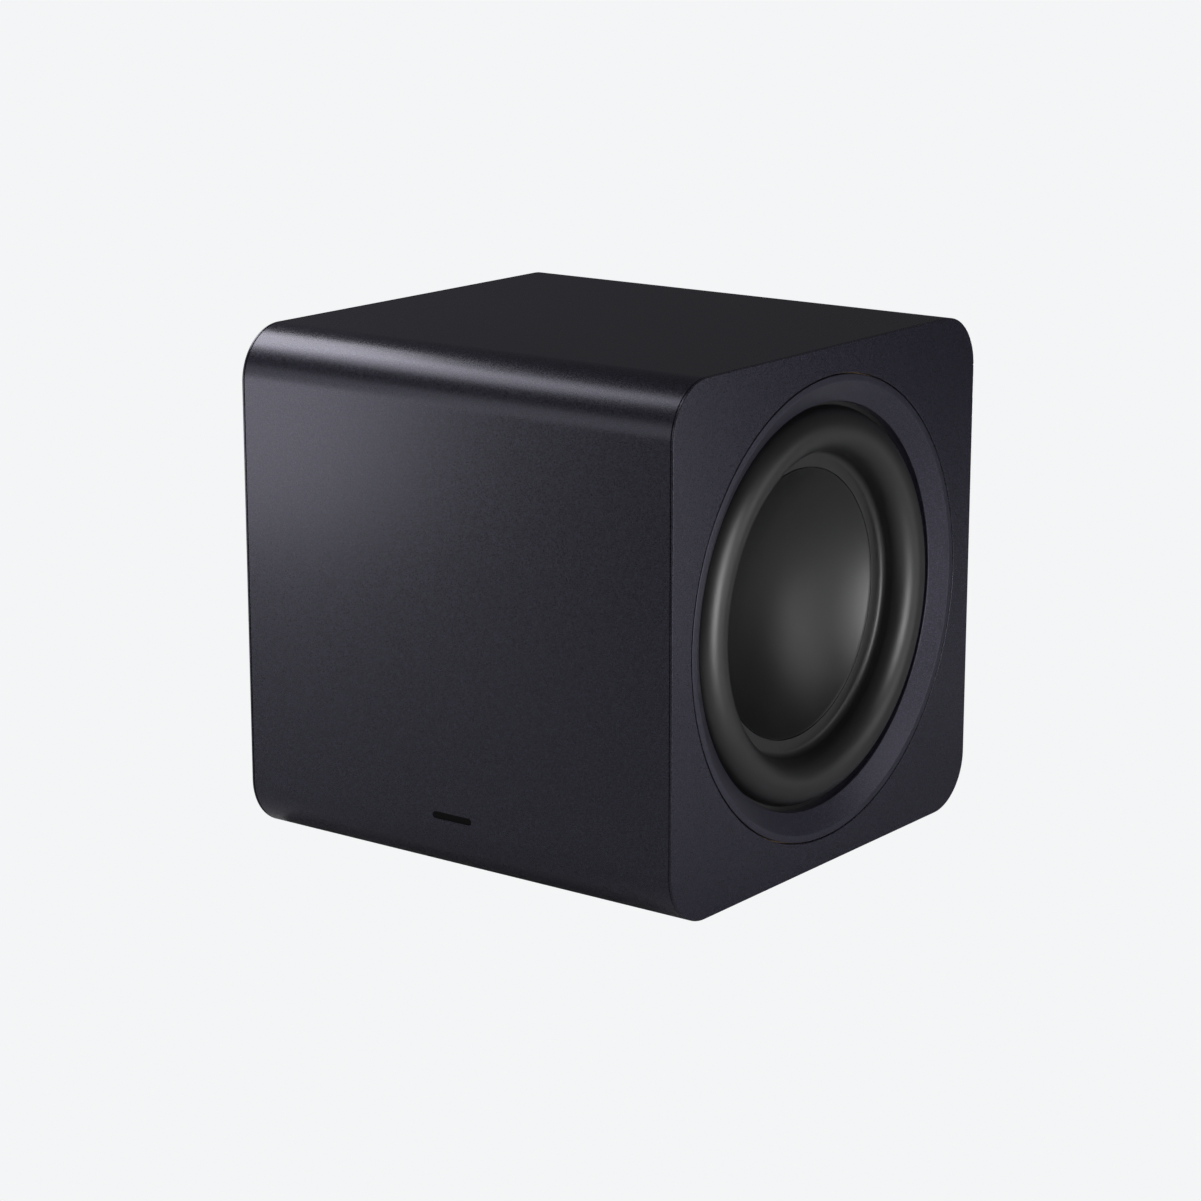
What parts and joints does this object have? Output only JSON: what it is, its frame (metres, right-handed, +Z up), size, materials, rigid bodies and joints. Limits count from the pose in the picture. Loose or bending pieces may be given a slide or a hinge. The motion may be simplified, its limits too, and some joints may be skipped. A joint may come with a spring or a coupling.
{
  "type": "subwoofer",
  "caption": "Cube-shaped powered subwoofer with rounded edges and a mirrored concave driver in a flush trim ring on each side.",
  "frame": {"origin": "middle of the underside of the feet", "axes": "+X out of the right-hand driver, -Y out of the plain front, +Z up"},
  "size_m": [0.249, 0.249, 0.249],
  "materials": {
    "charcoal_paint": "satin paint with a fine metallic grain",
    "trim_paint": "satin paint with a fine metallic grain",
    "bar_gloss": "gloss, blank",
    "fibreboard": "raw fibreboard",
    "foot_rubber": "matt rubber",
    "zinc_screw": "zinc plated",
    "black_screw": "black oxide",
    "rear_plastic": "fine spark texture",
    "foam": "closed-cell foam",
    "inlet_plastic": "moulded",
    "plated_pin": "nickel plated",
    "button_plastic": "moulded",
    "clear_lens": "clear light pipe",
    "circuit_board": "solder mask",
    "brass": "turned",
    "ferrite": "sintered ferrite",
    "winding_tape": "taped winding",
    "capacitor_sleeve": "shrink sleeve",
    "copper_winding": "enamelled copper wire",
    "bare_aluminium": "extruded",
    "shield_can": "tinned can on a small board",
    "frame_steel": "black powder coat",
    "surround_rubber": "soft satin rubber",
    "cone_pulp": "pressed pulp",
    "dish_satin": "satin black",
    "former_foil": "thin foil",
    "spider_cloth": "impregnated cloth",
    "plated_steel": "zinc plated",
    "fibreboard_strip": "phenolic strip with plated blades",
    "tinsel": "braided tinsel wire",
    "lead_sleeve": "silicone sleeve"
  },
  "bodies": {
    "cabinet": {"amplifier_board": "circuit_board", "baffle_left": "fibreboard", "baffle_right": "fibreboard", "board_screws": "zinc_screw", "board_standoffs": "brass", "cabinet_wrap": "charcoal_paint", "control_board": "circuit_board", "driver_frame_left": "frame_steel", "driver_frame_right": "frame_steel", "driver_screws": "black_screw", "feet": "foot_rubber", "filter_capacitors": "capacitor_sleeve", "foot_screws": "zinc_screw", "frame_gasket_left": "foam", "frame_gasket_right": "foam", "front_bar": "bar_gloss", "heatsink": "bare_aluminium", "inlet_pins": "plated_pin", "magnet_left": "ferrite", "magnet_right": "ferrite", "mains_inlet": "inlet_plastic", "output_inductors": "copper_winding", "rear_gasket": "foam", "rear_panel": "rear_plastic", "rear_screws": "black_screw", "side_panel_left": "charcoal_paint", "side_panel_right": "charcoal_paint", "speaker_lead_left": "lead_sleeve", "speaker_lead_right": "lead_sleeve", "spider_left": "spider_cloth", "spider_right": "spider_cloth", "status_led": "clear_lens", "status_lens": "clear_lens", "surround_left": "surround_rubber", "surround_right": "surround_rubber", "tact_switch": "inlet_plastic", "terminal_strip_left": "fibreboard_strip", "terminal_strip_right": "fibreboard_strip", "tinsel_leads_left": "tinsel", "tinsel_leads_right": "tinsel", "top_plate_left": "plated_steel", "top_plate_right": "plated_steel", "transformer_core": "ferrite", "transformer_winding": "winding_tape", "trim_ring_left": "trim_paint", "trim_ring_right": "trim_paint", "wireless_module": "shield_can", "yoke_left": "plated_steel", "yoke_right": "plated_steel"},
    "cone_right": {"cone_right": "cone_pulp", "dish_right": "dish_satin", "voice_coil_former_right": "former_foil", "voice_coil_right": "copper_winding"},
    "cone_left": {"cone_left": "cone_pulp", "dish_left": "dish_satin", "voice_coil_former_left": "former_foil", "voice_coil_left": "copper_winding"},
    "button": {"pairing_button": "button_plastic", "switch_actuator": "button_plastic"}
  },
  "joints": [
    {"name": "cone_right_stroke", "type": "slide", "parent": "cabinet", "child": "cone_right", "axis": [1, 0, 0], "range_m": [-0.008, 0.008], "stiffness_N_per_m": 2500, "deforming": ["surround_right", "spider_right", "tinsel_leads_right"]},
    {"name": "cone_left_stroke", "type": "slide", "parent": "cabinet", "child": "cone_left", "axis": [-1, 0, 0], "range_m": [-0.008, 0.008], "stiffness_N_per_m": 2500, "deforming": ["surround_left", "spider_left", "tinsel_leads_left"]},
    {"name": "pairing_button_press", "type": "slide", "parent": "cabinet", "child": "button", "axis": [0, -1, 0], "range_m": [0, 0.0005], "stiffness_N_per_m": 900, "springref_m": -0.0005}
  ]
}
